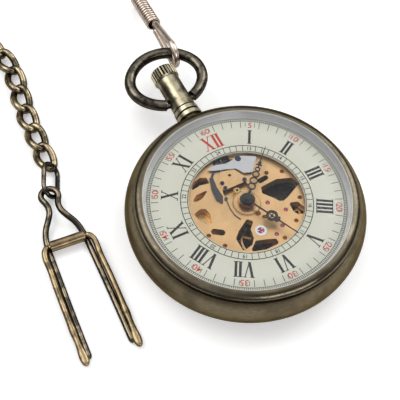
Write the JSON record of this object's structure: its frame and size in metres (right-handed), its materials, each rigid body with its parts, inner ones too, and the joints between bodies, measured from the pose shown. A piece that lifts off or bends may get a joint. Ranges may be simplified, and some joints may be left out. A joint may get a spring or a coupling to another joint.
{
  "type": "pocket watch",
  "caption": "Open-face skeleton pocket watch, hand-wound, with bow, crown, a spring hook, a curb fob chain and a sprung belt clip.",
  "frame": {"origin": "on the flat middle of the back cover, on the axis of the case", "axes": "+Z out of the dial, +Y to 12 o'clock and the pendant, +X to 3 o'clock"},
  "size_m": [0.065, 0.1441, 0.0137],
  "materials": {
    "case_metal": "satin, worn",
    "bezel_metal": "polished, worn",
    "crystal": "clear",
    "gasket": "matt",
    "polished_steel": "polished",
    "dark_ring": "matt",
    "pendant_metal": "polished, worn",
    "bow_metal": "polished, dark",
    "dial_enamel": "satin",
    "hand_black": "gloss",
    "gilt": "frosted gilt",
    "gear_brass": "fine brushed",
    "steel": "fine brushed",
    "dark_steel": "satin",
    "blued_steel": "polished",
    "ruby": "polished",
    "copper": "satin",
    "hook_metal": "satin, worn",
    "chain_metal": "polished, worn",
    "clip_metal": "satin, worn",
    "dark_wire": "polished, dark",
    "black_plate": "satin"
  },
  "bodies": {
    "case": {"case_band": "case_metal", "back_cover": "case_metal", "bezel": "bezel_metal", "crystal": "crystal", "crystal_gasket": "gasket", "dial_ring": "polished_steel", "movement_ring": "dark_ring", "case_screws": "blued_steel", "pendant": "pendant_metal", "dial": "dial_enamel", "main_plate": "gilt", "barrel_bridge": "black_plate", "train_bridge": "black_plate", "balance_cock": "black_plate", "pallet_bridge": "gilt", "minute_bridge": "gilt", "mainspring": "steel", "click_spring": "steel", "hairspring": "blued_steel", "regulator": "steel", "dial_washer": "copper", "yoke_spring": "dark_steel", "keyless_cover": "steel", "train_jewels": "ruby", "shock_setting": "polished_steel", "plate_screws": "blued_steel", "chain_run_a": "chain_metal", "chain_coil": "chain_metal", "chain_run_b": "chain_metal", "clip_ring": "dark_wire"},
    "bow": {"bow": "bow_metal"},
    "hook": {"hook": "hook_metal", "hook_spring": "steel"},
    "sleeve": {"hook_sleeve": "hook_metal"},
    "winding": {"winding_pinion": "steel"},
    "crown": {"crown": "pendant_metal", "winding_stem": "steel"},
    "clutch": {"clutch": "steel"},
    "setting_lever": {"setting_lever": "steel"},
    "yoke": {"yoke": "dark_steel"},
    "crown_wheel": {"crown_wheel": "steel"},
    "ratchet": {"ratchet_wheel": "steel", "barrel_arbor": "steel"},
    "click": {"click": "steel"},
    "minute": {"center_wheel": "gear_brass", "cannon_pinion": "hand_black", "minute_hand": "hand_black"},
    "hour": {"hour_wheel": "gear_brass", "hour_hand": "hand_black"},
    "minute_wheel": {"minute_wheel": "gear_brass"},
    "setting_wheel": {"setting_wheel": "steel"},
    "third": {"third_wheel": "gear_brass"},
    "fourth": {"fourth_wheel": "gear_brass"},
    "barrel": {"barrel_drum": "gear_brass"},
    "escape": {"escape_wheel": "gear_brass"},
    "pallets": {"pallet_fork": "steel"},
    "balance": {"balance_wheel": "gear_brass"},
    "clip": {"clip_frame": "dark_wire", "clip_bar": "clip_metal"},
    "prongs": {"clip_prongs": "clip_metal"}
  },
  "joints": [
    {"name": "bow_swing", "type": "hinge", "parent": "case", "child": "bow", "pos_m": [0, 0.0288, 0.0073], "axis": [1, 0, 0], "range_deg": [-80, 80]},
    {"name": "hook_swing", "type": "hinge", "parent": "bow", "child": "hook", "pos_m": [0.0042, 0.0411, 0.0073], "axis": [0.9962, -0.0872, 0], "range_deg": [-10, 60]},
    {"name": "sleeve_slide", "type": "slide", "parent": "hook", "child": "sleeve", "axis": [0.0846, 0.9666, -0.2419], "range_m": [0, 0.002], "stiffness_N_per_m": 60, "springref_m": -0.001},
    {"name": "crown_wind", "type": "hinge", "parent": "case", "child": "winding", "pos_m": [0, 0.011, 0.0073], "axis": [0, 1, 0], "continuous": true},
    {"name": "crown_pull", "type": "slide", "parent": "winding", "child": "crown", "axis": [0, 1, 0], "range_m": [0, 0.0008]},
    {"name": "clutch_slide", "type": "slide", "parent": "winding", "child": "clutch", "axis": [0, 1, 0], "range_m": [-0.0007, 0]},
    {"name": "setting_lever_turn", "type": "hinge", "parent": "case", "child": "setting_lever", "pos_m": [0.0033, 0.0115, 0.0096], "axis": [0, 0, 1], "range_deg": [-16.8, 0]},
    {"name": "yoke_turn", "type": "hinge", "parent": "case", "child": "yoke", "pos_m": [-0.0036, 0.008, 0.0096], "axis": [0, 0, 1], "range_deg": [-11.3, 0]},
    {"name": "crown_wheel_turn", "type": "hinge", "parent": "case", "child": "crown_wheel", "pos_m": [0, 0.0083, 0.0046], "axis": [0, 0, 1], "continuous": true},
    {"name": "ratchet_turn", "type": "hinge", "parent": "case", "child": "ratchet", "pos_m": [-0.0062, 0.0026, 0.0046], "axis": [0, 0, 1], "continuous": true},
    {"name": "click_turn", "type": "hinge", "parent": "case", "child": "click", "pos_m": [-0.0104, 0.0069, 0.0046], "axis": [0, 0, -1], "range_deg": [0, 8]},
    {"name": "minute_turn", "type": "hinge", "parent": "case", "child": "minute", "pos_m": [0, 0, 0.008], "axis": [0, 0, -1], "continuous": true},
    {"name": "hour_turn", "type": "hinge", "parent": "case", "child": "hour", "pos_m": [0, 0, 0.0097], "axis": [0, 0, -1], "continuous": true},
    {"name": "minute_wheel_turn", "type": "hinge", "parent": "case", "child": "minute_wheel", "pos_m": [-0.00037, 0.00335, 0.0085], "axis": [0, 0, -1], "continuous": true},
    {"name": "setting_wheel_turn", "type": "hinge", "parent": "case", "child": "setting_wheel", "pos_m": [-0.0001, 0.00708, 0.0085], "axis": [0, 0, -1], "continuous": true},
    {"name": "third_turn", "type": "hinge", "parent": "case", "child": "third", "pos_m": [0.0038, -0.00155, 0.0065], "axis": [0, 0, -1], "continuous": true},
    {"name": "fourth_turn", "type": "hinge", "parent": "case", "child": "fourth", "pos_m": [0.00625, -0.00447, 0.0073], "axis": [0, 0, -1], "continuous": true},
    {"name": "barrel_turn", "type": "hinge", "parent": "case", "child": "barrel", "pos_m": [-0.0062, 0.0026, 0.007], "axis": [0, 0, -1], "continuous": true},
    {"name": "escape_turn", "type": "hinge", "parent": "case", "child": "escape", "pos_m": [0.0039, -0.0073, 0.0064], "axis": [0, 0, -1], "continuous": true},
    {"name": "pallet_swing", "type": "hinge", "parent": "case", "child": "pallets", "pos_m": [0.00198, -0.00848, 0.0064], "axis": [0, 0, -1], "range_deg": [-7, 7]},
    {"name": "balance_swing", "type": "hinge", "parent": "case", "child": "balance", "pos_m": [-0.0004, -0.0065, 0.0054], "axis": [0, 0, -1], "range_deg": [-270, 270]},
    {"name": "clip_swing", "type": "hinge", "parent": "case", "child": "clip", "pos_m": [-0.03245, 0.0223, 0.00204], "axis": [0, 0, 1], "range_deg": [-40, 8]},
    {"name": "prong_swing", "type": "hinge", "parent": "clip", "child": "prongs", "pos_m": [-0.03342, 0.01129, 0.0019], "axis": [-0.9976, 0.0698, 0], "range_deg": [0, 25]}
  ],
  "couplings": [
    {"joint": "clutch_slide", "follows": "crown_pull", "ratio": -0.875},
    {"joint": "setting_lever_turn", "follows": "crown_pull", "rad_per_m": -363.6},
    {"joint": "yoke_turn", "follows": "crown_pull", "rad_per_m": -242.5},
    {"joint": "crown_wheel_turn", "follows": "crown_wind", "ratio": 0.41935},
    {"joint": "ratchet_turn", "follows": "crown_wind", "ratio": -0.27083},
    {"joint": "hour_turn", "follows": "minute_turn", "ratio": 0.083333},
    {"joint": "minute_wheel_turn", "follows": "minute_turn", "ratio": -0.33333},
    {"joint": "setting_wheel_turn", "follows": "minute_turn", "ratio": 0.70588},
    {"joint": "third_turn", "follows": "minute_turn", "ratio": -8},
    {"joint": "fourth_turn", "follows": "minute_turn", "ratio": 60},
    {"joint": "barrel_turn", "follows": "minute_turn", "ratio": -0.15584}
  ]
}
